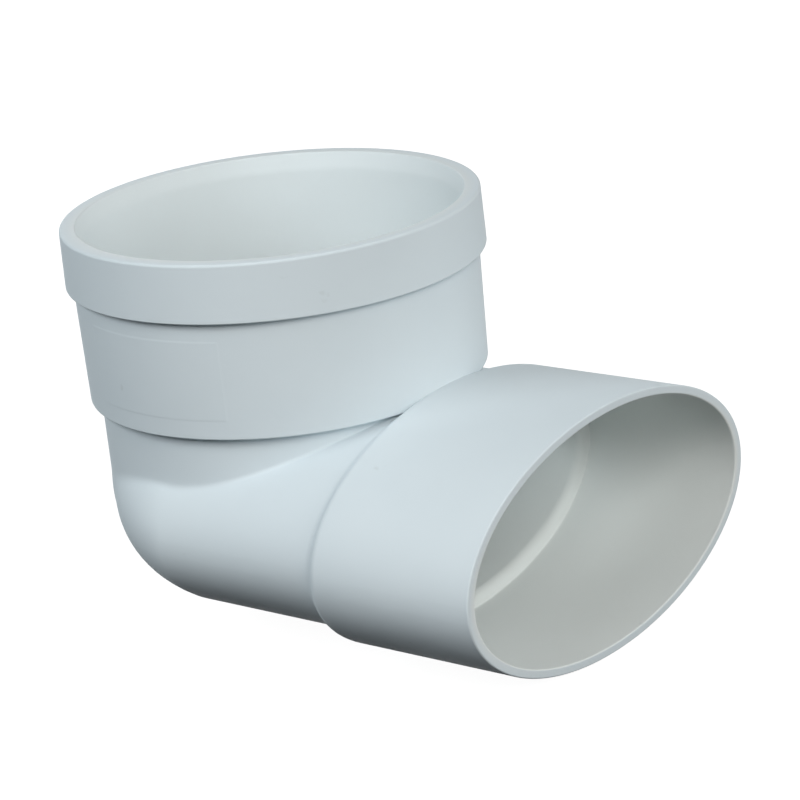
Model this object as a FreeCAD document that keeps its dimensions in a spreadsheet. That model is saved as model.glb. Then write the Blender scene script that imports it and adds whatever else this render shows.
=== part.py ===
import FreeCAD, Part
import math
import os
import Sketcher

# A moulded plastic offset connector: a round pipe socket standing on a short round neck, which runs
# into a lying oval body and leaves sideways through an oval pipe socket. One moulding, one solid.
# The origin is on the round socket's axis, in the plane of its pipe stop. +Z points out of the round
# mouth and +X out of the oval mouth. Sizes are in millimetres.

os.makedirs("parts", exist_ok=True)
doc = FreeCAD.newDocument("offset_connector")

SIZES = [
    ("bore_radius", 55.2, "inside radius of the round socket"),
    ("bore_depth", 48.0, "pipe stop to round mouth"),
    ("socket_wall", 3.3, "wall of the round socket at its lower edge"),
    ("socket_draft", 0.6, "how much wider the round socket is under its collar"),
    ("socket_skirt", 3.4, "how far the round socket reaches below its pipe stop"),
    ("collar_wall", 5.8, "wall of the thick collar at the mouth"),
    ("collar_draft", 0.3, "how much wider the collar is at its lower edge"),
    ("collar_height", 17.0, "height of the collar"),
    ("rim_bevel", 1.1, "bevel of the collar's outer top edge"),
    ("rim_inner_ease", 0.7, "chamfer of the round mouth's inner edge"),
    ("neck_radius", 55.5, "outside radius of the round neck"),
    ("neck_wall", 3.5, "wall of the round neck and of its lower end"),
    ("drop", 35.5, "pipe stop of the round socket to the oval's axis"),
    ("oval_half_width", 67.0, "oval socket, outside"),
    ("oval_half_height", 35.6, "oval socket, outside"),
    ("oval_wall_side", 3.3, "wall of the oval socket at its sides"),
    ("oval_wall_top", 2.5, "wall of the oval socket at top and bottom"),
    ("oval_back", 57.5, "round axis to the rear edge of the oval socket"),
    ("oval_length", 53.9, "rear edge of the oval socket to its mouth"),
    ("oval_depth", 51.4, "oval pipe stop to oval mouth"),
    ("oval_edge_ease", 0.6, "chamfer of the oval mouth's edges"),
    ("step_side", 3.6, "step from the oval socket in to the oval body, at the sides"),
    ("step_top", 3.0, "step from the oval socket in to the oval body, at top and bottom"),
    ("stop_side", 3.7, "width of the oval pipe stop at the sides"),
    ("stop_top", 3.7, "width of the oval pipe stop at top and bottom"),
    ("stop_ease", 1.2, "chamfer of the oval pipe stop's inner edge"),
    ("heel_depth", 30.0, "depth of the neck's rounded lower end below the oval's axis"),
    ("rear_lift", 6.0, "rise of the body's ovals from the round axis to the back of the neck"),
    ("plan_power", 1.65, "fullness of the body's rear outline seen from above"),
    ("side_power", 2.2, "fullness of the body's rear outline seen from the side"),
    ("end_share", 0.62, "end radius of the passage's oval as a share of its half height"),
    ("body_lead", 6.0, "round axis to where the oval body becomes straight"),
]
sheet = doc.addObject("Spreadsheet::Sheet", "Sizes")
for row, (name, value, meaning) in enumerate(SIZES, start=1):
    sheet.set("A%d" % row, name)
    sheet.set("B%d" % row, str(value))
    sheet.set("C%d" % row, meaning)
    sheet.setAlias("B%d" % row, name)
doc.recompute()
size = {name: value for name, value, meaning in SIZES}

body = doc.addObject("PartDesign::Body", "offset_connector")
body.Label = "offset_connector"


def origin_plane(role):
    return [item for item in body.Origin.OriginFeatures if item.Role == role][0]


def new_sketch(name, role, offset=None):
    """A sketch on one of the body's own planes, moved along the plane's normal by an expression."""
    sketch = body.newObject("Sketcher::SketchObject", name)
    sketch.AttachmentSupport = (origin_plane(role), [""])
    sketch.MapMode = "FlatFace"
    if offset:
        sketch.setExpression("AttachmentOffset.Base.z", offset)
    return sketch


def polygon(sketch, corners):
    """A closed outline of straight lines. Each corner is (x, y, x expression, y expression)."""
    count = len(corners)
    points = [FreeCAD.Vector(corner[0], corner[1], 0) for corner in corners]
    for index in range(count):
        sketch.addGeometry(Part.LineSegment(points[index], points[(index + 1) % count]), False)
    for index in range(count):
        sketch.addConstraint(Sketcher.Constraint("Coincident", index, 2, (index + 1) % count, 1))
    for index, corner in enumerate(corners):
        for kind, place, expression in (("DistanceX", corner[0], corner[2]), ("DistanceY", corner[1], corner[3])):
            number = sketch.addConstraint(Sketcher.Constraint(kind, -1, 1, index, 1, place))
            if expression:
                sketch.setExpression("Constraints[%d]" % number, expression)


def oval(sketch, half_width, half_height, width_expression, height_expression, share=0):
    """An ellipse lying across the oval's axis, one drop below the origin, or raised by a share of the lift."""
    depth = size["drop"] - share * size["rear_lift"]
    centre = FreeCAD.Vector(0, -depth, 0)
    ellipse = sketch.addGeometry(Part.Ellipse(centre, half_width, half_height), False)
    across = FreeCAD.Vector(half_width, 0, 0)
    upward = FreeCAD.Vector(0, half_height, 0)
    wide = sketch.addGeometry(Part.LineSegment(centre - across, centre + across), True)
    tall = sketch.addGeometry(Part.LineSegment(centre - upward, centre + upward), True)
    sketch.addConstraint(Sketcher.Constraint("InternalAlignment:EllipseMajorDiameter", wide, ellipse))
    sketch.addConstraint(Sketcher.Constraint("InternalAlignment:EllipseMinorDiameter", tall, ellipse))
    sketch.addConstraint(Sketcher.Constraint("Horizontal", wide))
    sketch.addConstraint(Sketcher.Constraint("PointOnObject", ellipse, 3, -2))
    number = sketch.addConstraint(Sketcher.Constraint("DistanceY", ellipse, 3, -1, 1, depth))
    sketch.setExpression("Constraints[%d]" % number, "Sizes.drop - %s * Sizes.rear_lift" % share)
    number = sketch.addConstraint(Sketcher.Constraint("DistanceX", wide, 1, wide, 2, 2 * half_width))
    sketch.setExpression("Constraints[%d]" % number, "2 * (%s)" % width_expression)
    number = sketch.addConstraint(Sketcher.Constraint("Distance", tall, 1, tall, 2, 2 * half_height))
    sketch.setExpression("Constraints[%d]" % number, "2 * (%s)" % height_expression)


def arc_oval(sketch, half_width, half_height, width_expression, height_expression, share=0):
    """The same oval drawn with four arcs that run smoothly into each other, for the hidden passage."""
    depth = size["drop"] - share * size["rear_lift"]
    end_radius = size["end_share"] * half_height
    reach = half_width - end_radius
    flat_radius = (reach ** 2 + half_height ** 2 - end_radius ** 2) / (2 * (half_height - end_radius))
    fall = flat_radius - half_height
    turn = math.atan2(fall, reach)
    normal = FreeCAD.Vector(0, 0, 1)
    arcs = [
        (reach, -depth, end_radius, -turn, turn),
        (0, -depth - fall, flat_radius, turn, math.pi - turn),
        (-reach, -depth, end_radius, math.pi - turn, math.pi + turn),
        (0, -depth + fall, flat_radius, math.pi + turn, 2 * math.pi - turn),
    ]
    right, top, left, bottom = [
        sketch.addGeometry(Part.ArcOfCircle(Part.Circle(FreeCAD.Vector(x, y, 0), normal, radius), start, end), False)
        for x, y, radius, start, end in arcs]
    for first, second in ((right, top), (top, left), (left, bottom), (bottom, right)):
        sketch.addConstraint(Sketcher.Constraint("Tangent", first, 2, second, 1))
    sketch.addConstraint(Sketcher.Constraint("PointOnObject", top, 3, -2))
    sketch.addConstraint(Sketcher.Constraint("Equal", top, bottom))
    sketch.addConstraint(Sketcher.Constraint("Symmetric", left, 3, right, 3, -2))
    height_text = "(%s)" % height_expression
    radius_text = "Sizes.end_share * " + height_text
    reach_text = "(%s - %s)" % (width_expression, radius_text)
    number = sketch.addConstraint(Sketcher.Constraint("DistanceY", right, 3, -1, 1, depth))
    sketch.setExpression("Constraints[%d]" % number, "Sizes.drop - %s * Sizes.rear_lift" % share)
    number = sketch.addConstraint(Sketcher.Constraint("DistanceX", left, 3, right, 3, 2 * reach))
    sketch.setExpression("Constraints[%d]" % number, "2 * %s" % reach_text)
    number = sketch.addConstraint(Sketcher.Constraint("Radius", right, end_radius))
    sketch.setExpression("Constraints[%d]" % number, radius_text)
    number = sketch.addConstraint(Sketcher.Constraint("Radius", top, flat_radius))
    sketch.setExpression("Constraints[%d]" % number, "(%s ^ 2 + %s ^ 2 - (%s) ^ 2) / (2 * (%s - %s))" % (
        reach_text, height_text, radius_text, height_text, radius_text))


def turned(kind, name, corners):
    """A solid or a cut turned about the round socket's axis."""
    sketch = new_sketch(name + "_outline", "XZ_Plane")
    polygon(sketch, corners)
    feature = body.newObject(kind, name)
    feature.Profile = sketch
    feature.ReferenceAxis = (sketch, ["V_Axis"])
    feature.Angle = 360
    doc.recompute()


def heel_corners(radius, depth, radius_expression, depth_expression, angles):
    """The neck's rounded lower end, from the bottom of its axis up to where the neck is straight."""
    corners = [(0, -size["drop"] - depth, None, "-Sizes.drop - %s" % depth_expression)]
    for angle in angles:
        across = math.cos(math.radians(angle))
        down = math.sin(math.radians(angle))
        corners.append((radius * across, -size["drop"] - depth * down,
                        "%s * cos(%s deg)" % (radius_expression, angle),
                        "-Sizes.drop - %s * sin(%s deg)" % (depth_expression, angle)))
    return corners


# The round socket with its collar and the neck below it, solid for now.
HEEL_ANGLES = [72, 54, 36, 18, 0]
HOLLOW_ANGLES = [60, 30, 0]
neck = size["neck_radius"]
skirt_radius = size["bore_radius"] + size["socket_wall"]
band_radius = skirt_radius + size["socket_draft"]
collar_top = size["bore_radius"] + size["collar_wall"]
collar_low = collar_top + size["collar_draft"]
collar_z = size["bore_depth"] - size["collar_height"]
heel = heel_corners(neck, size["heel_depth"], "Sizes.neck_radius", "Sizes.heel_depth", HEEL_ANGLES)
turned("PartDesign::Revolution", "round_outside", heel + [
    (neck, -size["socket_skirt"], "Sizes.neck_radius", "-Sizes.socket_skirt"),
    (skirt_radius, -size["socket_skirt"], "Sizes.bore_radius + Sizes.socket_wall", "-Sizes.socket_skirt"),
    (band_radius, collar_z, "Sizes.bore_radius + Sizes.socket_wall + Sizes.socket_draft",
     "Sizes.bore_depth - Sizes.collar_height"),
    (collar_low, collar_z, "Sizes.bore_radius + Sizes.collar_wall + Sizes.collar_draft",
     "Sizes.bore_depth - Sizes.collar_height"),
    (collar_top, size["bore_depth"] - size["rim_bevel"], "Sizes.bore_radius + Sizes.collar_wall",
     "Sizes.bore_depth - Sizes.rim_bevel"),
    (collar_top - size["rim_bevel"] / 2, size["bore_depth"],
     "Sizes.bore_radius + Sizes.collar_wall - Sizes.rim_bevel / 2", "Sizes.bore_depth"),
    (0, size["bore_depth"], None, "Sizes.bore_depth"),
])

# The oval body: its rear closes in ovals that shrink towards the back of the neck.
BODY_WIDTH = "(Sizes.oval_half_width - Sizes.step_side)"
BODY_HEIGHT = "(Sizes.oval_half_height - Sizes.step_top)"
BORE_WIDTH = "(Sizes.oval_half_width - Sizes.oval_wall_side)"
BORE_HEIGHT = "(Sizes.oval_half_height - Sizes.oval_wall_top)"
PASSAGE_WIDTH = "(Sizes.oval_half_width - Sizes.oval_wall_side - Sizes.stop_side)"
PASSAGE_HEIGHT = "(Sizes.oval_half_height - Sizes.oval_wall_top - Sizes.stop_top)"
PASSAGE_RADIUS = "(Sizes.neck_radius - Sizes.neck_wall)"
BACK = "Sizes.oval_back"
MOUTH = "(Sizes.oval_back + Sizes.oval_length)"
STOP = MOUTH + " - Sizes.oval_depth"
EASED = MOUTH + " - Sizes.oval_edge_ease"
SHARES = [0.9, 0.81, 0.71, 0.6, 0.48, 0.36, 0.24, 0.12, 0.0]
PASSAGE_SHARES = [0.9, 0.72, 0.42, 0.0]
body_width = size["oval_half_width"] - size["step_side"]
body_height = size["oval_half_height"] - size["step_top"]
bore_width = size["oval_half_width"] - size["oval_wall_side"]
bore_height = size["oval_half_height"] - size["oval_wall_top"]
passage_width = bore_width - size["stop_side"]
passage_height = bore_height - size["stop_top"]


def shrink(share, power):
    """The part of its full size that an oval keeps at a share of the way to the rear."""
    return (1 - share ** power) ** (1 / power)


def rear_end(kind, name, draw, half_width, half_height, width_expression, height_expression, reach, shares, ruled):
    """The closed rear of an oval tube, as a solid or a cut, up to where the tube becomes straight."""
    sections = []
    for number, share in enumerate(shares):
        section = new_sketch("%s_oval_%d" % (name, number), "YZ_Plane", "-%s * %s" % (share, reach))
        factor = "(1 - %s ^ Sizes.%s) ^ (1 / Sizes.%s)"
        draw(section, half_width * shrink(share, size["plan_power"]), half_height * shrink(share, size["side_power"]),
             width_expression + " * " + factor % (share, "plan_power", "plan_power"),
             height_expression + " * " + factor % (share, "side_power", "side_power"), share)
        sections.append(section)
    lead = new_sketch(name + "_lead_oval", "YZ_Plane", "Sizes.body_lead")
    draw(lead, half_width, half_height, width_expression, height_expression)
    sections.append(lead)
    lofted(kind, name, sections, ruled)


def lofted(kind, name, sections, ruled):
    """A solid or a cut through a row of ovals, with straight sides between them if it is ruled."""
    doc.recompute()
    feature = body.newObject(kind, name)
    feature.Profile = sections[0]
    feature.Sections = sections[1:]
    feature.Ruled = ruled
    doc.recompute()


def flare(kind, name, draw, near, far):
    """A short straight-sided step from one oval to another, each (plane, widths and heights)."""
    sections = []
    for number, (plane, half_width, half_height, width_expression, height_expression) in enumerate((near, far)):
        section = new_sketch("%s_oval_%d" % (name, number), "YZ_Plane", plane)
        draw(section, half_width, half_height, width_expression, height_expression)
        sections.append(section)
    lofted(kind, name, sections, True)


def tube(kind, name, draw, start, length, half_width, half_height, width_expression, height_expression):
    """A straight oval length from one plane, as a solid towards +X or a cut towards -X."""
    sketch = new_sketch(name + "_outline", "YZ_Plane", start)
    draw(sketch, half_width, half_height, width_expression, height_expression)
    feature = body.newObject(kind, name)
    feature.Profile = sketch
    feature.Type = 0
    feature.setExpression("Length", length)
    doc.recompute()


rear_end("PartDesign::AdditiveLoft", "body_rear", oval, body_width, body_height, BODY_WIDTH, BODY_HEIGHT,
         "Sizes.neck_radius", SHARES, False)
tube("PartDesign::Pad", "body_front", oval, "Sizes.body_lead", BACK + " - Sizes.body_lead",
     body_width, body_height, BODY_WIDTH, BODY_HEIGHT)

# The oval socket, a step wider than the body, with its mouth's outer edge chamfered.
ease = size["oval_edge_ease"]
half_width = size["oval_half_width"]
half_height = size["oval_half_height"]
tube("PartDesign::Pad", "oval_shoulder", oval, BACK, "Sizes.oval_length - Sizes.oval_depth",
     half_width, half_height, "Sizes.oval_half_width", "Sizes.oval_half_height")
tube("PartDesign::Pad", "oval_socket", oval, STOP, "Sizes.oval_depth - Sizes.oval_edge_ease",
     half_width, half_height, "Sizes.oval_half_width", "Sizes.oval_half_height")
flare("PartDesign::AdditiveLoft", "oval_mouth_end", oval,
      (EASED, half_width, half_height, "Sizes.oval_half_width", "Sizes.oval_half_height"),
      (MOUTH, half_width - ease, half_height - ease,
       "Sizes.oval_half_width - Sizes.oval_edge_ease", "Sizes.oval_half_height - Sizes.oval_edge_ease"))

# The round bore down to its pipe stop, and the narrower passage and rounded hollow below it.
passage_radius = neck - size["neck_wall"]
hollow = heel_corners(passage_radius, size["heel_depth"] - size["neck_wall"], PASSAGE_RADIUS,
                      "(Sizes.heel_depth - Sizes.neck_wall)", HOLLOW_ANGLES)
turned("PartDesign::Groove", "round_bore", hollow + [
    (passage_radius, 0, PASSAGE_RADIUS, None),
    (size["bore_radius"], 0, "Sizes.bore_radius", None),
    (size["bore_radius"], size["bore_depth"] - size["rim_inner_ease"], "Sizes.bore_radius",
     "Sizes.bore_depth - Sizes.rim_inner_ease"),
    (size["bore_radius"] + size["rim_inner_ease"], size["bore_depth"], "Sizes.bore_radius + Sizes.rim_inner_ease",
     "Sizes.bore_depth"),
    (0, size["bore_depth"], None, "Sizes.bore_depth"),
])

# The oval passage behind its pipe stop, closed at its rear like the body, and the oval bore in front.
rear_end("PartDesign::SubtractiveLoft", "passage_rear", arc_oval, passage_width, passage_height,
         PASSAGE_WIDTH, PASSAGE_HEIGHT, PASSAGE_RADIUS, PASSAGE_SHARES, True)
tube("PartDesign::Pocket", "passage_front", arc_oval, MOUTH, MOUTH + " - Sizes.body_lead",
     passage_width, passage_height, PASSAGE_WIDTH, PASSAGE_HEIGHT)
tube("PartDesign::Pocket", "oval_bore", oval, MOUTH, "Sizes.oval_depth",
     bore_width, bore_height, BORE_WIDTH, BORE_HEIGHT)
stop_ease = size["stop_ease"]
flare("PartDesign::SubtractiveLoft", "oval_stop_chamfer", arc_oval,
      (STOP + " - Sizes.stop_ease", passage_width, passage_height, PASSAGE_WIDTH, PASSAGE_HEIGHT),
      (STOP, passage_width + stop_ease, passage_height + stop_ease,
       PASSAGE_WIDTH + " + Sizes.stop_ease", PASSAGE_HEIGHT + " + Sizes.stop_ease"))
flare("PartDesign::SubtractiveLoft", "oval_mouth_inner_chamfer", oval,
      (EASED, bore_width, bore_height, BORE_WIDTH, BORE_HEIGHT),
      (MOUTH, bore_width + ease, bore_height + ease,
       BORE_WIDTH + " + Sizes.oval_edge_ease", BORE_HEIGHT + " + Sizes.oval_edge_ease"))

# Everything is checked before the solid is written.
for item in doc.Objects:
    if "Invalid" in item.State or "Error" in item.State:
        raise RuntimeError("%s failed: %s" % (item.Name, item.State))
shape = body.Shape
if shape.isNull() or not shape.isValid() or len(shape.Solids) != 1:
    raise RuntimeError("the connector isn't one valid solid")
print("connector volume", round(shape.Volume), "mm3")
shape.exportStep("parts/%s.step" % body.Label)
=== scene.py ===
import math

import bmesh
import bpy
import numpy as np
from mathutils import Matrix, Vector


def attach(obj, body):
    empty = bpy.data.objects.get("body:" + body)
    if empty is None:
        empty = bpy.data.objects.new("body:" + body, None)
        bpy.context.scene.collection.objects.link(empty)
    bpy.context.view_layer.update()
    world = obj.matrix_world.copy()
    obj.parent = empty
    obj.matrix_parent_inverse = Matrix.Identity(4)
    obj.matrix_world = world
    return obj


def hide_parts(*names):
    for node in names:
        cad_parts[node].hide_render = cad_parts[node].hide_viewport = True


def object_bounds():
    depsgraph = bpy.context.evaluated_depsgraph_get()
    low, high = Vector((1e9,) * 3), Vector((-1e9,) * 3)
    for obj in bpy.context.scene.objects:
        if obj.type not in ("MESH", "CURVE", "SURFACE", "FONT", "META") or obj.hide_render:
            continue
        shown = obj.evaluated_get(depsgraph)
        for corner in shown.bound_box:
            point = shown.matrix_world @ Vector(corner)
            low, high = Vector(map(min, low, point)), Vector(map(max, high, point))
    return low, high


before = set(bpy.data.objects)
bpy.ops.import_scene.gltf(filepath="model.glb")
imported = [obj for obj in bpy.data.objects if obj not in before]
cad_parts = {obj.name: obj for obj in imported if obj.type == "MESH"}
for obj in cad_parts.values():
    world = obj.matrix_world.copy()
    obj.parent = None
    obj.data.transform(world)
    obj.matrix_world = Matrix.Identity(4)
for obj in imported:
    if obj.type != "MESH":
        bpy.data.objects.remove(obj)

cad_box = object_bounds()
MM = 0.001
bpy.context.scene.view_settings.view_transform = "Standard"


# The camera stands in front of the connector, a little above it, turned towards the oval outlet
# and tipped slightly, as in the photograph.
AZIMUTH = math.radians(39.759)
ELEVATION = math.radians(18.737)
TIP = math.radians(6.155)
DISTANCE = 863.57 * MM
AIM = Vector((25.0, 0.0, -0.5)) * MM
AIM_RIGHT = 13.03 * MM
AIM_UP = -8.14 * MM
LENS = 134.8
SENSOR_WIDTH = 36.0
NEAREST = 50.0 * MM


def seen_from(azimuth, elevation):
    """The direction from the connector to a place round it; azimuth 0 is in front, on -Y."""
    return Vector((math.sin(azimuth) * math.cos(elevation),
                   -math.cos(azimuth) * math.cos(elevation), math.sin(elevation)))


level_right = Vector((math.cos(AZIMUTH), math.sin(AZIMUTH), 0.0))
backward = seen_from(AZIMUTH, ELEVATION)
level_up = backward.cross(level_right)
camera_right = math.cos(TIP) * level_right - math.sin(TIP) * level_up
camera_up = math.sin(TIP) * level_right + math.cos(TIP) * level_up
camera_turn = Matrix((camera_right, camera_up, backward)).transposed().to_4x4()
camera_place = AIM + DISTANCE * backward + AIM_RIGHT * camera_right + AIM_UP * camera_up
camera_data = bpy.data.cameras.new("camera")
camera_data.sensor_width = SENSOR_WIDTH
camera_data.lens = LENS
camera_data.clip_start = NEAREST
camera = bpy.data.objects.new("camera", camera_data)
camera.matrix_world = Matrix.Translation(camera_place) @ camera_turn
bpy.context.scene.collection.objects.link(camera)
bpy.context.scene.camera = camera


# The room: white all round to the eye, with very dim cool light in it. The floor is white to the
# eye, with a faint shadow of the connector, and throws almost no light up at it.
WHITE = (1.0, 1.0, 1.0)
ROOM_COLOUR = (0.90, 0.95, 1.0)
ROOM_STRENGTH = 0.01
FLOOR_SIZE = 12.0
FLOOR_GAP = 0.01 * MM
FLOOR_GLOW = 0.96
FLOOR_PAINT = (0.22, 0.22, 0.22)
FLOOR_UNSEEN = (0.025, 0.027, 0.030)


def one_colour(tree, kind, colour, strength=None):
    """A shader of one colour, and of a strength where it gives light."""
    shader = tree.nodes.new(kind)
    shader.inputs["Color"].default_value = colour + (1.0,)
    if strength is not None:
        shader.inputs["Strength"].default_value = strength
    return shader


def split_by_ray(tree, lighting, seen, output):
    """One shader for rays that light things, another for camera, mirror and see-through rays."""
    path = tree.nodes.new("ShaderNodeLightPath")
    for_the_eye = path.outputs["Is Camera Ray"]
    for kind in ("Is Glossy Ray", "Is Transmission Ray"):
        either = tree.nodes.new("ShaderNodeMath")
        either.operation = "MAXIMUM"
        tree.links.new(for_the_eye, either.inputs[0])
        tree.links.new(path.outputs[kind], either.inputs[1])
        for_the_eye = either.outputs[0]
    mix = tree.nodes.new("ShaderNodeMixShader")
    tree.links.new(for_the_eye, mix.inputs[0])
    tree.links.new(lighting.outputs[0], mix.inputs[1])
    tree.links.new(seen.outputs[0], mix.inputs[2])
    tree.links.new(mix.outputs[0], tree.nodes.new(output).inputs[0])


world = bpy.data.worlds.new("room")
bpy.context.scene.world = world
world.use_nodes = True
room = world.node_tree
room.nodes.clear()
room_light = one_colour(room, "ShaderNodeBackground", ROOM_COLOUR, ROOM_STRENGTH)
room_white = one_colour(room, "ShaderNodeBackground", WHITE, 1.0)
split_by_ray(room, room_light, room_white, "ShaderNodeOutputWorld")

floor_height = cad_box[0][2] - FLOOR_GAP
bpy.ops.mesh.primitive_plane_add(size=FLOOR_SIZE, location=(0.0, 0.0, floor_height))
floor = bpy.context.object
floor.name = "floor"
floor_finish = bpy.data.materials.new("floor_white")
floor_finish.use_nodes = True
finish = floor_finish.node_tree
finish.nodes.clear()
floor_glow = one_colour(finish, "ShaderNodeEmission", WHITE, FLOOR_GLOW)
floor_paint = one_colour(finish, "ShaderNodeBsdfDiffuse", FLOOR_PAINT)
floor_unseen = one_colour(finish, "ShaderNodeBsdfDiffuse", FLOOR_UNSEEN)
floor_seen = finish.nodes.new("ShaderNodeAddShader")
finish.links.new(floor_glow.outputs[0], floor_seen.inputs[0])
finish.links.new(floor_paint.outputs[0], floor_seen.inputs[1])
split_by_ray(finish, floor_unseen, floor_seen, "ShaderNodeOutputMaterial")
floor.data.materials.append(floor_finish)


# The lamps: four square soft boxes round the connector, from its left to its outlet's side, and
# two weaker and lower ones behind it, all aimed at it.
LAMP_CENTRE = Vector((0.02, 0.0, 0.0))
LAMP_DISTANCE = 1.4
LAMP_SIZE = 0.7
HIGH = 35.0
HALF_HIGH = 20.0
LOW = 14.0
BACK_WATTS = 5.0


def soft_box(name, azimuth, elevation, watts, colour):
    """A square lamp in a direction given in degrees."""
    lamp = bpy.data.lights.new(name, "AREA")
    lamp.size = LAMP_SIZE
    lamp.energy = watts
    lamp.color = colour
    direction = seen_from(math.radians(azimuth), math.radians(elevation))
    box = bpy.data.objects.new(name, lamp)
    box.location = LAMP_CENTRE + LAMP_DISTANCE * direction
    box.rotation_euler = direction.to_track_quat("Z", "Y").to_euler()
    box.visible_camera = False
    bpy.context.scene.collection.objects.link(box)


soft_box("left_lamp", azimuth=-30.0, elevation=HIGH, watts=9.0, colour=(0.94, 1.0, 1.03))
soft_box("front_lamp", azimuth=0.0, elevation=HIGH, watts=3.4, colour=WHITE)
soft_box("side_lamp", azimuth=60.0, elevation=HIGH, watts=8.2, colour=(1.03, 1.0, 0.97))
soft_box("right_lamp", azimuth=90.0, elevation=HALF_HIGH, watts=5.8, colour=(0.98, 1.0, 0.99))
soft_box("back_right_lamp", azimuth=155.0, elevation=LOW, watts=BACK_WATTS, colour=WHITE)
soft_box("back_left_lamp", azimuth=235.0, elevation=LOW, watts=BACK_WATTS, colour=WHITE)


# The connector is one injection moulding in hard PVC. Its round half is turned about the upright
# axis: a pipe socket with a thick collar, and below it a neck with a rounded lower end, the heel.
RIM_HEIGHT = cad_box[1][2] / MM
COLLAR_RADIUS = 61.0
COLLAR_DRAFT = 0.3
COLLAR_FOOT = RIM_HEIGHT - 17.0
COLLAR_TOP_EDGE = 0.9
COLLAR_FOOT_EDGE = 0.45
COLLAR_CORNER = 0.35
SKIRT_RADIUS = 58.5
SKIRT_FOOT = -3.4
SKIRT_EDGE = 0.5
SOCKET_DRAFT = 0.6
NECK_RADIUS = 55.5
HEEL_TOP = -33.0
HEEL_DEPTH = 32.3
HEEL_FULLNESS = 2.12
HEEL_STEP = 5
OUTSIDE_RUN = 5.0
ROUND_SIDES = 240


def eased(corners, steps=6):
    """An outline whose corners (across, up, radius) are rounded to their radii."""
    points = []
    for index, (across, up, radius) in enumerate(corners):
        corner = Vector((across, up))
        if radius == 0.0:
            points.append(corner)
            continue
        back = (Vector(corners[index - 1][:2]) - corner).normalized()
        onward = (Vector(corners[index + 1][:2]) - corner).normalized()
        half = back.angle(onward) / 2
        centre = corner + (back + onward).normalized() * radius / math.sin(half)
        start = corner + back * radius / math.tan(half) - centre
        end = corner + onward * radius / math.tan(half) - centre
        turn = math.pi - 2 * half
        for step in range(steps + 1):
            share = step / steps
            arm = math.sin((1 - share) * turn) * start + math.sin(share * turn) * end
            points.append(centre + arm / math.sin(turn))
    return points


def divided(points, longest):
    """The same outline with points added wherever two lie further apart than the longest run."""
    result = [points[0]]
    for point in points[1:]:
        count = max(1, math.ceil((point - result[-1]).length / longest))
        start = result[-1]
        result += [start.lerp(point, step / count) for step in range(1, count + 1)]
    return result


def heel(radius, depth, top, fullness):
    """A rounded lower end from the axis out to its wall: an ellipse's for 2, squarer for more."""
    turns = [math.radians(turn) for turn in range(0, 90, HEEL_STEP)]
    return [Vector((radius * math.sin(turn) ** (2 / fullness),
                    top - depth * math.cos(turn) ** (2 / fullness))) for turn in turns]


def socket_radius(height):
    """How wide the round socket is outside: a little wider towards the collar."""
    return SKIRT_RADIUS + SOCKET_DRAFT * (height - SKIRT_FOOT) / (COLLAR_FOOT - SKIRT_FOOT)


def closed_rings(name, rings, first_tip, last_tip):
    """A closed solid through rings of equal count, with a tip at each end."""
    count = len(rings[0])
    points = [first_tip] + [point for ring in rings for point in ring] + [last_tip]
    faces = [(0, 1 + (index + 1) % count, 1 + index) for index in range(count)]
    for row in range(len(rings) - 1):
        here = 1 + row * count
        above = here + count
        for index in range(count):
            after = (index + 1) % count
            faces.append((here + index, here + after, above + after, above + index))
    here = 1 + (len(rings) - 1) * count
    last = len(points) - 1
    faces += [(here + index, here + (index + 1) % count, last) for index in range(count)]
    mesh = bpy.data.meshes.new(name)
    mesh.from_pydata(points, [], faces)
    mesh.update()
    solid = bpy.data.objects.new(name, mesh)
    bpy.context.scene.collection.objects.link(solid)
    return solid


def turned(name, outline, angles, push=None):
    """A closed solid turned about the round axis from an outline that starts and ends on it."""
    rings = []
    for point in outline[1:-1]:
        ring = []
        for angle in angles:
            across = point.x + (push(angle, point.y) if push else 0.0)
            ring.append((across * math.cos(angle), across * math.sin(angle), point.y))
        rings.append(ring)
    return closed_rings(name, rings, (0, 0, outline[0].y), (0, 0, outline[-1].y))


# A plate was let into the mould on the round socket's -Y side. It leaves a bare, faintly raised
# rectangle there, with a narrow sloping edge, so the round half is turned with it.
PLATE_HALF_ANGLE = math.radians(23.3)
PLATE_LOW = 2.3
PLATE_HIGH = 25.3
PLATE_RISE = 0.05
PLATE_EDGE = 0.5
plate_edge_angle = PLATE_EDGE / SKIRT_RADIUS


def plate(angle, height):
    """How far the plate's rectangle stands out of the round socket."""
    away = abs((angle + math.pi / 2 + math.pi) % (2 * math.pi) - math.pi)
    inside_angle = (PLATE_HALF_ANGLE - away) / plate_edge_angle + 0.5
    inside_height = min(height - PLATE_LOW, PLATE_HIGH - height) / PLATE_EDGE + 0.5
    return PLATE_RISE * max(0.0, min(1.0, inside_angle, inside_height))


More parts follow.
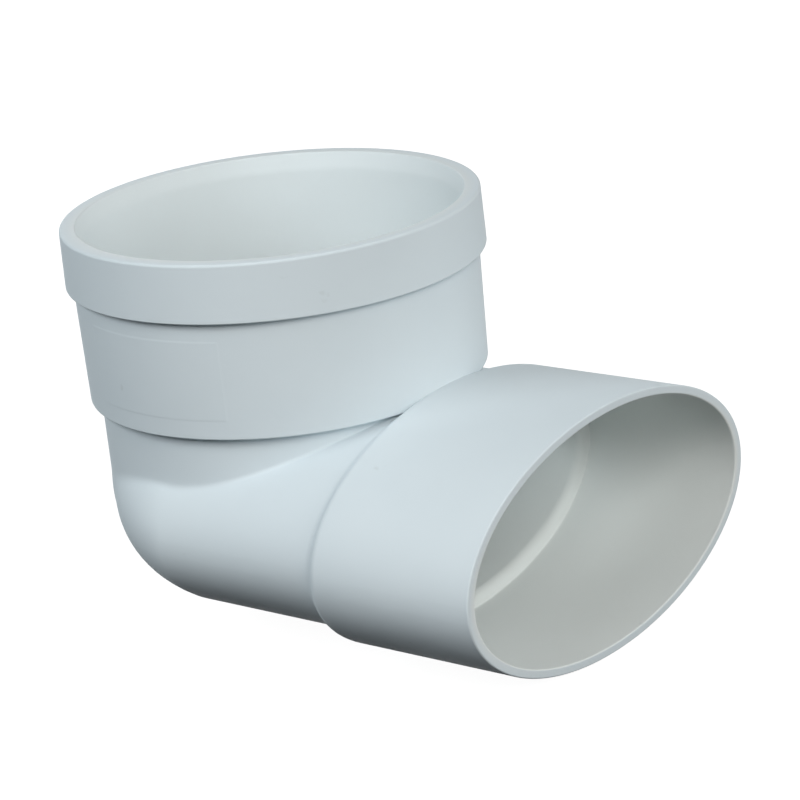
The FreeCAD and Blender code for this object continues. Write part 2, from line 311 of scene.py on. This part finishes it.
round_angles = [2 * math.pi * index / ROUND_SIDES for index in range(ROUND_SIDES)]
round_angles += [math.pi * 1.5 + side * (PLATE_HALF_ANGLE + shift * plate_edge_angle)
                 for side in (-1, 1) for shift in (-0.5, 0.5)]
round_angles.sort()
plate_heights = [middle + shift * PLATE_EDGE
                 for middle in (PLATE_LOW, PLATE_HIGH) for shift in (-0.5, 0.5)]
round_outline = heel(NECK_RADIUS, HEEL_DEPTH, HEEL_TOP, HEEL_FULLNESS) + divided(eased([
    (NECK_RADIUS, HEEL_TOP, 0.0),
    (NECK_RADIUS, SKIRT_FOOT, SKIRT_EDGE),
    (SKIRT_RADIUS, SKIRT_FOOT, SKIRT_EDGE)]
    + [(socket_radius(height), height, 0.0) for height in plate_heights] + [
    (SKIRT_RADIUS + SOCKET_DRAFT, COLLAR_FOOT, COLLAR_CORNER),
    (COLLAR_RADIUS + COLLAR_DRAFT, COLLAR_FOOT, COLLAR_FOOT_EDGE),
    (COLLAR_RADIUS, RIM_HEIGHT, COLLAR_TOP_EDGE),
    (0.0, RIM_HEIGHT, 0.0)]), OUTSIDE_RUN)
round_half = turned("round_half", round_outline, round_angles, plate)


# The oval half of the same moulding: ovals set across the outlet's axis, closing towards the back
# of the neck, where they follow it, and stepping out over a soft shoulder to the oval socket.
MOUTH_REACH = cad_box[1][0] / MM
MOUTH_EDGE = 0.5
MOUTH_FACE = 3.0
OVAL_DEPTH = 35.5
BODY_HALF = (63.4, 32.6)
SHOULDER_GROWTH = (3.6, 3.0)
SHOULDER_PLACE = 56.9
SHOULDER_SLOPE = 1.3
SHOULDER_FOOT_CURVE = 4.0
SHOULDER_TOP_CURVE = 3.4
SHOULDER_LEAN = 2.7
LEAN_REACH = 8.0
REAR_LIFT = 6.0
REAR_SHARE = 0.9
REAR_FULLNESS = (1.65, 2.2)
NECK_COVER = 0.3
COVER_UNTIL = 0.65
COVER_FALL = 25.0
OVAL_SIDES = 240
BODY_STATIONS = 28
mean_growth = sum(SHOULDER_GROWTH) / 2
oval_outline = eased([
    (0.0, 0.0, 0.0),
    (SHOULDER_PLACE - SHOULDER_SLOPE, 0.0, SHOULDER_FOOT_CURVE),
    (SHOULDER_PLACE + SHOULDER_SLOPE, mean_growth, SHOULDER_TOP_CURVE),
    (MOUTH_REACH, mean_growth, MOUTH_EDGE),
    (MOUTH_REACH, -MOUTH_FACE, 0.0)])


def oval_growth(reach):
    """How far the oval stands out of the body's own oval at a reach along its axis."""
    outside = oval_outline[:-1]
    return np.interp(reach, [point.x for point in outside], [point.y for point in outside])


def closing(halves, share):
    """An oval's half width and half height at a share of the way back to the neck's far wall."""
    return [half * (1 - share ** fullness) ** (1 / fullness)
            for half, fullness in zip(halves, REAR_FULLNESS)]


def rear_oval(reach):
    """Half width, half height and centre of the body's oval at a reach along its axis."""
    share = np.clip(-reach / NECK_RADIUS, 0.0, REAR_SHARE)
    free, half_height = closing(BODY_HALF, share)
    cover = NECK_COVER - COVER_FALL * np.maximum(share - COVER_UNTIL, 0.0) ** 2
    hugging = NECK_RADIUS * np.sqrt(1 - share ** 2) + cover
    return np.maximum(free, hugging), half_height, -OVAL_DEPTH + share * REAR_LIFT


def rear_shares(stations):
    """Shares of the way back, from the rear end forward, and closer together at that end."""
    return [REAR_SHARE * math.cos(math.pi / 2 * index / stations) for index in range(stations)]


def ring_at(reach, half_width, half_height, centre=-OVAL_DEPTH, lean=0.0):
    """An oval ring across the outlet's axis, whose lower half may lean back."""
    turns = [2 * math.pi * index / OVAL_SIDES for index in range(OVAL_SIDES)]
    return [(reach - lean * max(0.0, -math.sin(turn)), half_width * math.cos(turn),
             centre + half_height * math.sin(turn)) for turn in turns]


def drawn_out(name, rings, end):
    """A closed solid through oval rings from the rear to a flat end."""
    rear_tip = (rings[0][0][0], 0, -OVAL_DEPTH + REAR_SHARE * REAR_LIFT)
    return closed_rings(name, rings, rear_tip, (end, 0, -OVAL_DEPTH))


rings = []
for share in rear_shares(BODY_STATIONS):
    reach = -NECK_RADIUS * share
    rings.append(ring_at(reach, *rear_oval(reach)))
for point in divided(oval_outline, OUTSIDE_RUN):
    growth = point.y / mean_growth
    lean = SHOULDER_LEAN if abs(point.x - SHOULDER_PLACE) < LEAN_REACH else 0.0
    rings.append(ring_at(point.x, BODY_HALF[0] + SHOULDER_GROWTH[0] * growth,
                         BODY_HALF[1] + SHOULDER_GROWTH[1] * growth, lean=lean))
oval_half = drawn_out("oval_half", rings, MOUTH_REACH)


# The hollow that the mould's cores leave: the round bore with its lead-in and pipe stop and the
# passage below it, and the oval bore with its rounded pipe stop and the passage behind it.
BORE_RADIUS = 55.2
BORE_EDGE = 0.5
LEAD_IN = 1.1
LEAD_IN_DEPTH = 5.0
LEAD_IN_CURVE = 8.0
ROUND_STOP_EDGE = 0.6
ROUND_STOP_CORNER = 0.3
PASSAGE_RADIUS = 52.0
HOLLOW_DEPTH = 26.5
PASSAGE_HALF = (60.0, 29.4)
OVAL_STOP_PLACE = 60.0
OVAL_STOP_STEP = 3.7
OVAL_STOP_EDGE = 3.0
OVAL_STOP_CORNER = 0.5
HOLLOW_RUN = 6.0
PASSAGE_STATIONS = 20
CLEARANCE = 2.0


def rounded_mouth(across, along, steps):
    """The quarter round at a bore's mouth, as places across and along the bore."""
    turns = [math.pi / 2 * step / steps for step in range(1, steps + 1)]
    return [(across + BORE_EDGE * (1 - math.cos(turn)), along - BORE_EDGE * (1 - math.sin(turn)))
            for turn in turns]


hollow_outline = heel(PASSAGE_RADIUS, HOLLOW_DEPTH, -OVAL_DEPTH, 2.0) + divided(eased([
    (PASSAGE_RADIUS, -OVAL_DEPTH, 0.0),
    (PASSAGE_RADIUS, 0.0, ROUND_STOP_EDGE),
    (BORE_RADIUS, 0.0, ROUND_STOP_CORNER),
    (BORE_RADIUS, RIM_HEIGHT - LEAD_IN_DEPTH, LEAD_IN_CURVE),
    (BORE_RADIUS + LEAD_IN, RIM_HEIGHT - BORE_EDGE, 0.0)]), HOLLOW_RUN)
hollow_outline += [Vector(place) for place in rounded_mouth(BORE_RADIUS + LEAD_IN, RIM_HEIGHT, 6)]
hollow_outline += [Vector((BORE_RADIUS + LEAD_IN + BORE_EDGE, RIM_HEIGHT + CLEARANCE)),
                   Vector((0.0, RIM_HEIGHT + CLEARANCE))]
round_hollow = turned("round_hollow", hollow_outline, round_angles)

passage_outline = divided(eased([
    (0.0, 0.0, 0.0),
    (OVAL_STOP_PLACE, 0.0, OVAL_STOP_EDGE),
    (OVAL_STOP_PLACE, OVAL_STOP_STEP, OVAL_STOP_CORNER),
    (MOUTH_REACH - BORE_EDGE, OVAL_STOP_STEP, 0.0)]), HOLLOW_RUN)
passage_outline += [Vector((along, across))
                    for across, along in rounded_mouth(OVAL_STOP_STEP, MOUTH_REACH, 5)]
passage_outline += [Vector((MOUTH_REACH + CLEARANCE, OVAL_STOP_STEP + BORE_EDGE))]
rings = [ring_at(-PASSAGE_RADIUS * share, *closing(PASSAGE_HALF, share),
                 centre=-OVAL_DEPTH + share * REAR_LIFT)
         for share in rear_shares(PASSAGE_STATIONS)]
rings += [ring_at(point.x, PASSAGE_HALF[0] + point.y, PASSAGE_HALF[1] + point.y)
          for point in passage_outline]
oval_hollow = drawn_out("oval_hollow", rings, MOUTH_REACH + CLEARANCE)


def merge(target, other, operation):
    """One solid made from two, with the other one used up."""
    change = target.modifiers.new("merge", "BOOLEAN")
    change.operation = operation
    change.solver = "EXACT"
    change.object = other
    depsgraph = bpy.context.evaluated_depsgraph_get()
    result = bpy.data.meshes.new_from_object(target.evaluated_get(depsgraph))
    target.modifiers.clear()
    target.data = result
    bpy.data.objects.remove(other)


merge(round_half, oval_half, "UNION")
merge(round_hollow, oval_hollow, "UNION")
merge(round_half, round_hollow, "DIFFERENCE")
connector = round_half
connector.name = "connector"
connector.data.name = "connector"


# Where the neck, the round socket and the oval body meet, the mould's edge is slightly rounded.
# So the mesh is cut finer along that seam, and then drawn into a small hollow curve.
NECK_CURVE = 0.9
SOCKET_CURVE = 0.5
CURVE_CHANGE = (-14.0, -5.0)
SKIRT_FOOT_CURVE = 0.6
SEAM_MARGIN = 1.15
SEAM_FINE = 0.5
SEAM_COARSE = 3.0
PROBE = 0.002
WELD = 0.004
CUT_ROUNDS = 7
SETTLING_ROUNDS = 6
SETTLED = 0.02


def grown_together(first, second, width):
    """The distance to two solids that run into each other over a width."""
    near = np.maximum(width - np.abs(first - second), 0.0) / width
    return np.minimum(first, second) - near * near * width / 4


def round_distance(points):
    """About how far points lie outside the neck and the round socket."""
    across = np.hypot(points[:, 0], points[:, 1])
    below = np.maximum(HEEL_TOP - points[:, 2], 0.0)
    level = ((across / NECK_RADIUS) ** HEEL_FULLNESS
             + (below / HEEL_DEPTH) ** HEEL_FULLNESS) ** (1 / HEEL_FULLNESS)
    slope = np.hypot((across / NECK_RADIUS) ** (HEEL_FULLNESS - 1) / NECK_RADIUS,
                     (below / HEEL_DEPTH) ** (HEEL_FULLNESS - 1) / HEEL_DEPTH)
    neck = (level - 1) / (slope / level ** (HEEL_FULLNESS - 1))
    side = across - socket_radius(points[:, 2])
    socket = -grown_together(-side, points[:, 2] - SKIRT_FOOT, SKIRT_FOOT_CURVE)
    return grown_together(neck, socket, SKIRT_FOOT_CURVE)


def oval_distance(points):
    """About how far points lie outside the oval body and its shoulder."""
    half_width, half_height, centre = rear_oval(points[:, 0])
    growth = oval_growth(points[:, 0]) / mean_growth
    half_width = half_width + SHOULDER_GROWTH[0] * growth
    half_height = half_height + SHOULDER_GROWTH[1] * growth
    up = points[:, 2] - centre
    level = np.hypot(points[:, 1] / half_width, up / half_height)
    slope = np.hypot(points[:, 1] / half_width ** 2, up / half_height ** 2) / level
    return np.maximum((level - 1) / slope, -NECK_RADIUS * REAR_SHARE - points[:, 0])


def curve_width(points):
    """How wide the hollow curve is: wider along the neck than at the round socket."""
    return np.interp(points[:, 2], CURVE_CHANGE, (NECK_CURVE, SOCKET_CURVE))


def outside_distance(points):
    """About how far points lie outside the whole connector."""
    return grown_together(round_distance(points), oval_distance(points), curve_width(points))


def outward(distance, points):
    """The direction in which a distance grows fastest at points."""
    slopes = []
    for axis in range(3):
        shift = np.zeros(3)
        shift[axis] = PROBE
        slopes.append((distance(points + shift) - distance(points - shift)) / (2 * PROBE))
    return np.stack(slopes, axis=1)


def on_seam(points, margin=1.0):
    """Whether points are near both halves and not deeper in than a third of the curve's width."""
    first, second = round_distance(points), oval_distance(points)
    width = curve_width(points) * margin
    return (np.abs(first - second) < width) & (np.minimum(first, second) > -width / 3)


def longest_edge(points):
    """How long an edge may be at points: short where the halves cross steeply, longer elsewhere."""
    first, second = outward(round_distance, points), outward(oval_distance, points)
    crossing = np.linalg.norm(np.cross(first, second), axis=1)
    allowed = SEAM_FINE / np.maximum(crossing, SEAM_FINE / SEAM_COARSE)
    return np.where(on_seam(points, SEAM_MARGIN), allowed, np.inf)


def vertex_places(mesh):
    """The places of a mesh's vertices, one row for each."""
    flat = np.empty(len(mesh.vertices) * 3)
    mesh.vertices.foreach_get("co", flat)
    return flat.reshape(-1, 3)


def cut_long_edges(points, triangles):
    """The same triangles, with every edge that is too long for its place cut at its middle."""
    sides = np.stack([triangles, np.roll(triangles, -1, axis=1)], axis=2).reshape(-1, 2)
    edges, own = np.unique(np.sort(sides, axis=1), axis=0, return_inverse=True)
    own = own.reshape(-1, 3)
    starts, ends = points[edges[:, 0]], points[edges[:, 1]]
    allowed = longest_edge(points)
    allowed = np.minimum(longest_edge((starts + ends) / 2),
                         np.minimum(allowed[edges[:, 0]], allowed[edges[:, 1]]))
    cut = np.linalg.norm(starts - ends, axis=1) > allowed
    middle = np.full(len(edges), -1)
    middle[cut] = len(points) + np.arange(cut.sum())
    points = np.concatenate([points, (starts[cut] + ends[cut]) / 2])
    halves = middle[own]
    count = (halves >= 0).sum(axis=1)
    turn = np.where(count == 1, np.argmax(halves >= 0, axis=1),
                    np.where(count == 2, np.argmax(halves < 0, axis=1) + 1, 0))
    order = (np.arange(3) + turn[:, None]) % 3
    a, b, c = np.take_along_axis(triangles, order, axis=1).T
    ab, bc, ca = np.take_along_axis(halves, order, axis=1).T
    short = (np.linalg.norm(points[a] - points[bc], axis=1)
             < np.linalg.norm(points[ab] - points[c], axis=1))
    whole, one, three = count == 0, count == 1, count == 3
    near, far = (count == 2) & short, (count == 2) & ~short
    pieces = [(whole, a, b, c), (one, a, ab, c), (one, ab, b, c),
              (near, ab, b, bc), (near, a, ab, bc), (near, a, bc, c),
              (far, ab, b, bc), (far, a, ab, c), (far, ab, bc, c),
              (three, a, ab, ca), (three, ab, b, bc), (three, ca, bc, c), (three, ab, bc, ca)]
    triangles = np.concatenate([np.stack([p[kept], q[kept], r[kept]], axis=1)
                                for kept, p, q, r in pieces])
    return points, triangles, cut.any()


clean = bmesh.new()
clean.from_mesh(connector.data)
bmesh.ops.remove_doubles(clean, verts=clean.verts, dist=WELD)
bmesh.ops.dissolve_degenerate(clean, edges=clean.edges, dist=WELD)
bmesh.ops.triangulate(clean, faces=clean.faces)
clean.to_mesh(connector.data)
clean.free()
points = vertex_places(connector.data)
triangles = np.array([polygon.vertices[:] for polygon in connector.data.polygons])
for cut_round in range(CUT_ROUNDS):
    points, triangles, changed = cut_long_edges(points, triangles)
    if not changed:
        break
moving = np.nonzero(on_seam(points))[0]
moved = points[moving]
for settling_round in range(SETTLING_ROUNDS):
    slope = outward(outside_distance, moved)
    step = outside_distance(moved) / np.sum(slope ** 2, axis=1)
    moved = moved - step[:, None] * slope
settled = np.abs(outside_distance(moved)) < SETTLED
settled &= np.linalg.norm(moved - points[moving], axis=1) < NECK_CURVE
points[moving[settled]] = moved[settled]
connector.data.clear_geometry()
connector.data.from_pydata(points, [], triangles)
connector.data.update()


# Smooth surfaces meet in sharp lines only where the mould has them. The plate's narrow edge is
# shaded as flat strips, and the seam by the hollow curve's own direction.
SHARP_ANGLE = math.radians(32.0)
FACE_WEIGHT = 60
ON_THE_EDGE = (0.01, 0.99)
PROBE_SHARE = 0.03
connector.data.shade_smooth()
connector.data.set_sharp_from_angle(angle=SHARP_ANGLE)
weighted = connector.modifiers.new("weighted", "WEIGHTED_NORMAL")
weighted.keep_sharp = True
weighted.weight = FACE_WEIGHT
depsgraph = bpy.context.evaluated_depsgraph_get()
smoothed = bpy.data.meshes.new_from_object(
    connector.evaluated_get(depsgraph), preserve_all_data_layers=True, depsgraph=depsgraph)
connector.modifiers.clear()
normals = np.array([corner.vector for corner in smoothed.corner_normals])
corners = np.array([loop.vertex_index for loop in smoothed.loops])
owners = np.repeat(np.arange(len(smoothed.polygons)),
                   [polygon.loop_total for polygon in smoothed.polygons])
centres = np.array([polygon.center for polygon in smoothed.polygons])
face_normals = np.array([polygon.normal for polygon in smoothed.polygons])
points = vertex_places(smoothed)
risen = np.array([plate(math.atan2(centre[1], centre[0]), centre[2]) for centre in centres])
risen /= PLATE_RISE
strip = (risen > ON_THE_EDGE[0]) & (risen < ON_THE_EDGE[1])
strip &= np.hypot(centres[:, 0], centres[:, 1]) > SKIRT_RADIUS
normals[strip[owners]] = face_normals[owners[strip[owners]]]
seam_corner = on_seam(points)[corners]
probes = points[corners[seam_corner]]
probes = probes + PROBE_SHARE * (centres[owners[seam_corner]] - probes)
slope = outward(outside_distance, probes)
normals[seam_corner] = slope / np.linalg.norm(slope, axis=1)[:, None]
smoothed.normals_split_custom_set(normals.tolist())


# The inside of the moulding gets painted bounce light, a warmer and lighter tint that stands in for
# light bounced about its hollows. So each point carries how far it counts as inside: 0 on the
# outside, 1 in the neck and the oval, and less in the round bore.
INSIDE_DEPTH = 1.6
INSIDE_FADE = 0.8
BORE_SHARE = 0.45
BORE_CHANGE = (-10.0, 5.0)
inside = np.clip((-outside_distance(points) - INSIDE_DEPTH) / INSIDE_FADE, 0.0, 1.0)
inside *= np.interp(points[:, 2], BORE_CHANGE, (1.0, BORE_SHARE))
smoothed.attributes.new("inside", "FLOAT", "POINT").data.foreach_set("value", inside)
smoothed.transform(Matrix.Scale(MM, 4))
connector.data = smoothed


# The plastic is pale blue-grey and satin, with painted bounce light inside: a warmer, lighter tint.
# It has faint clouds from the melt, a few small scuffs, and the slight ripple and fine grain of the
# mould's steel.
OUTSIDE_PALE = (0.692, 0.766, 0.802)
OUTSIDE_DEEP = (0.668, 0.743, 0.781)
# Painted bounce light: a warmer, lighter tint for the surfaces inside the hollows.
INSIDE_PAINTED_BOUNCE = (0.765, 0.803, 0.793)
SCUFF = (0.53, 0.59, 0.60)
plastic = bpy.data.materials.new("pale_pvc")
plastic.use_nodes = True
nodes = plastic.node_tree.nodes
links = plastic.node_tree.links
shell = nodes["Principled BSDF"]
where = nodes.new("ShaderNodeTexCoord").outputs["Object"]


def noise(scale, detail, roughness=0.5):
    """A cloudy value about one half, with so many clouds to the metre."""
    cloud = nodes.new("ShaderNodeTexNoise")
    cloud.inputs["Scale"].default_value = scale
    cloud.inputs["Detail"].default_value = detail
    cloud.inputs["Roughness"].default_value = roughness
    links.new(where, cloud.inputs["Vector"])
    return cloud.outputs["Fac"]


def spread(value, low, high, to_low, to_high):
    """The value from low to high mapped onto another range, and held at its ends."""
    change = nodes.new("ShaderNodeMapRange")
    for name, number in (("From Min", low), ("From Max", high),
                         ("To Min", to_low), ("To Max", to_high)):
        change.inputs[name].default_value = number
    links.new(value, change.inputs["Value"])
    return change.outputs["Result"]


def blend_colours(share, first, second):
    """The first colour, and more of the second one where the share is higher."""
    mix = nodes.new("ShaderNodeMix")
    mix.data_type = "RGBA"
    links.new(share, mix.inputs["Factor"])
    for name, colour in (("A", first), ("B", second)):
        socket = [item for item in mix.inputs if item.name == name and item.type == "RGBA"][0]
        if isinstance(colour, tuple):
            socket.default_value = colour + (1.0,)
        else:
            links.new(colour, socket)
    return [item for item in mix.outputs if item.type == "RGBA"][0]


def bump(height, strength, distance):
    """A fine unevenness of the surface, no deeper than the distance."""
    uneven = nodes.new("ShaderNodeBump")
    uneven.inputs["Strength"].default_value = strength
    uneven.inputs["Distance"].default_value = distance
    links.new(height, uneven.inputs["Height"])
    return uneven


clouds = spread(noise(scale=22.0, detail=3.0), low=0.35, high=0.65, to_low=0.0, to_high=1.0)
painted_bounce_node = nodes.new("ShaderNodeAttribute")
painted_bounce_node.attribute_name = "inside"
melt = blend_colours(clouds, OUTSIDE_DEEP, OUTSIDE_PALE)
# Painted bounce light: the inside tint is blended in by how far each point counts as inside.
shaded = blend_colours(painted_bounce_node.outputs["Fac"], melt, INSIDE_PAINTED_BOUNCE)
scuffs = spread(noise(scale=150.0, detail=2.0, roughness=0.6),
                low=0.735, high=0.80, to_low=0.0, to_high=0.35)
links.new(blend_colours(scuffs, shaded, SCUFF), shell.inputs["Base Color"])
satin = spread(noise(scale=45.0, detail=3.0), low=0.3, high=0.7, to_low=0.44, to_high=0.54)
links.new(satin, shell.inputs["Roughness"])
shell.inputs["IOR"].default_value = 1.40
shell.inputs["Specular IOR Level"].default_value = 0.01
ripple = bump(noise(scale=70.0, detail=2.0), strength=0.5, distance=0.25 * MM)
grain = bump(noise(scale=2200.0, detail=2.0), strength=0.25, distance=0.04 * MM)
links.new(ripple.outputs["Normal"], grain.inputs["Normal"])
links.new(grain.outputs["Normal"], shell.inputs["Normal"])
connector.data.materials.clear()
connector.data.materials.append(plastic)
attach(connector, "root")
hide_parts("offset_connector")
